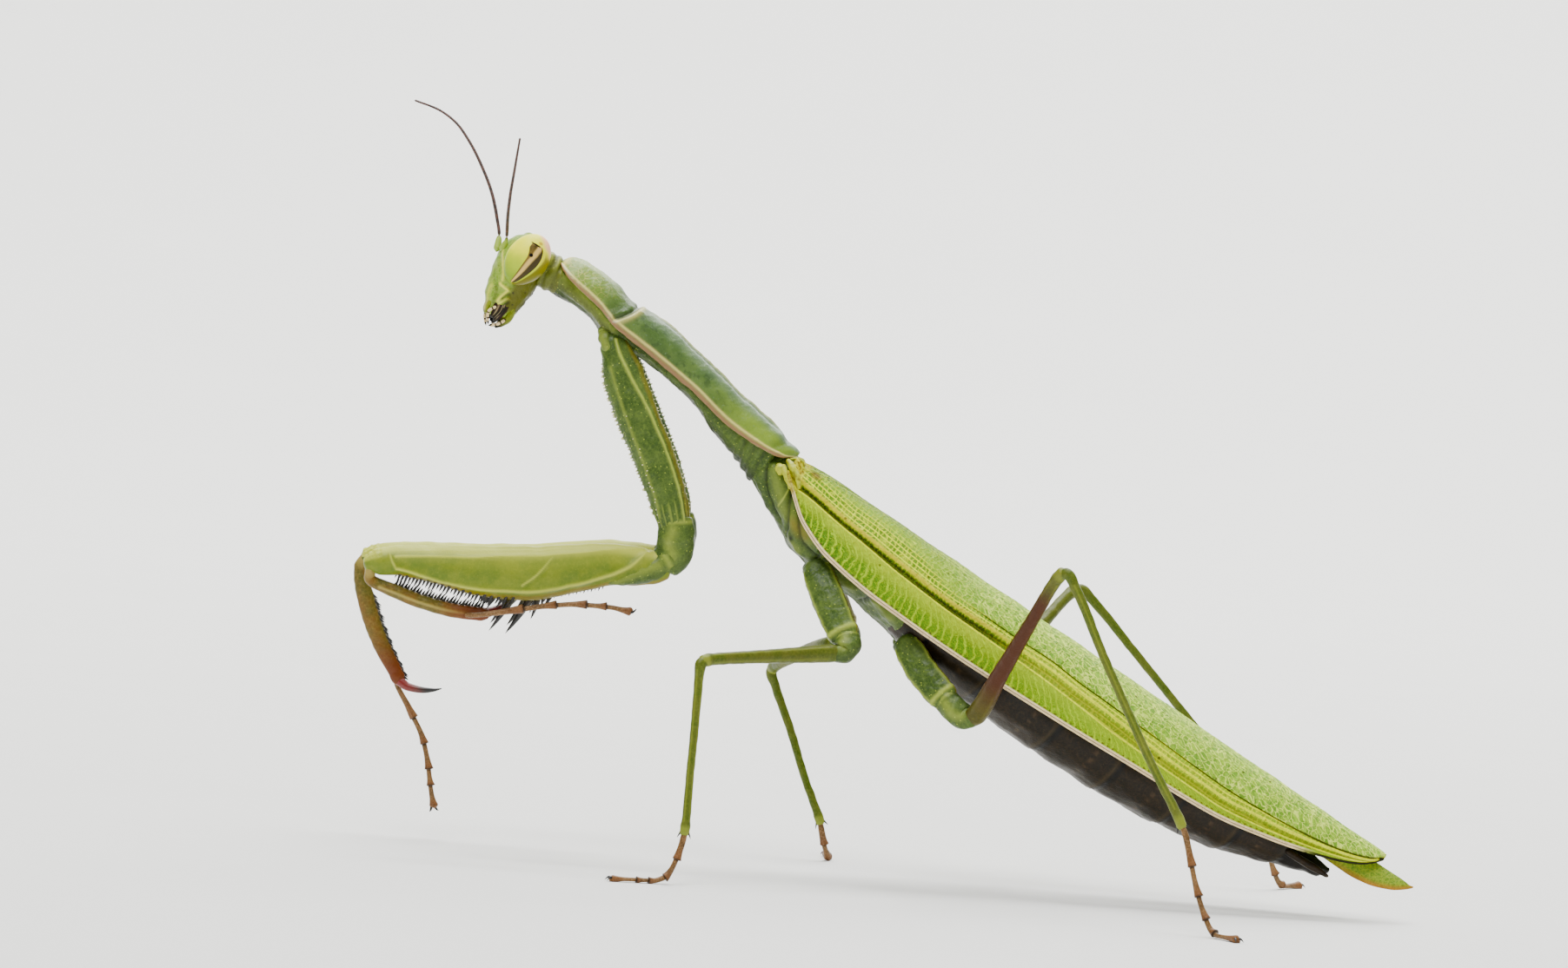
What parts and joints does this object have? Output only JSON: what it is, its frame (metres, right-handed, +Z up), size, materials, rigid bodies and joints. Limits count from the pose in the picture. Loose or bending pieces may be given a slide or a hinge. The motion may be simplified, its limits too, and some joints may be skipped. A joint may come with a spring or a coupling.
{
  "type": "praying mantis",
  "caption": "Green praying mantis at life size, standing with folded wings, raised forelegs and turned head; a still display model that rests on its feet.",
  "frame": {"origin": "on the floor, under the middle of the animal's bounding box", "axes": "+X from the head to the wing tips, +Y to the animal's right side, +Z up from the floor that the four walking feet stand on"},
  "size_m": [0.0748, 0.0464, 0.0515],
  "materials": {
    "green_cuticle": "satin, fine-grained green cuticle",
    "olive_leg": "satin olive green with brownish ends",
    "tarsus_brown": "satin tan brown",
    "belly_brown": "satin dark taupe, green in front",
    "wing_green": "satin leaf green with pale veins",
    "hindwing_green": "satin pale green membrane",
    "eye": "glossy yellow green with a tan band",
    "dark_horn": "glossy dark red to black",
    "antenna": "satin dark grey brown",
    "mouth": "satin brown with pale edges"
  },
  "bodies": {
    "root": {"abdomen_1": "belly_brown", "abdomen_2": "belly_brown", "abdomen_3": "belly_brown", "abdomen_4": "belly_brown", "abdomen_5": "belly_brown", "abdomen_6": "belly_brown", "abdomen_tip": "belly_brown", "antenna_left": "antenna", "antenna_right": "antenna", "cercus_left": "belly_brown", "cercus_right": "belly_brown", "eye_left": "eye", "eye_right": "eye", "fore_claw_left": "dark_horn", "fore_claw_right": "dark_horn", "fore_coxa_left": "green_cuticle", "fore_coxa_right": "green_cuticle", "fore_femur_left": "olive_leg", "fore_femur_right": "olive_leg", "fore_tarsus_left": "tarsus_brown", "fore_tarsus_right": "tarsus_brown", "fore_tibia_left": "olive_leg", "fore_tibia_right": "olive_leg", "fore_trochanter_left": "green_cuticle", "fore_trochanter_right": "green_cuticle", "forewing_left": "wing_green", "forewing_right": "wing_green", "head": "green_cuticle", "hind_coxa_left": "green_cuticle", "hind_coxa_right": "green_cuticle", "hind_femur_left": "olive_leg", "hind_femur_right": "olive_leg", "hind_tarsus_left": "tarsus_brown", "hind_tarsus_right": "tarsus_brown", "hind_tibia_left": "olive_leg", "hind_tibia_right": "olive_leg", "hind_trochanter_left": "green_cuticle", "hind_trochanter_right": "green_cuticle", "hindwing_left": "hindwing_green", "hindwing_right": "hindwing_green", "mesothorax": "green_cuticle", "metathorax": "green_cuticle", "middle_coxa_left": "green_cuticle", "middle_coxa_right": "green_cuticle", "middle_femur_left": "olive_leg", "middle_femur_right": "olive_leg", "middle_tarsus_left": "tarsus_brown", "middle_tarsus_right": "tarsus_brown", "middle_tibia_left": "olive_leg", "middle_tibia_right": "olive_leg", "middle_trochanter_left": "green_cuticle", "middle_trochanter_right": "green_cuticle", "mouthparts": "mouth", "neck": "green_cuticle", "pronotum": "green_cuticle", "prothorax": "green_cuticle"}
  },
  "joints": []
}
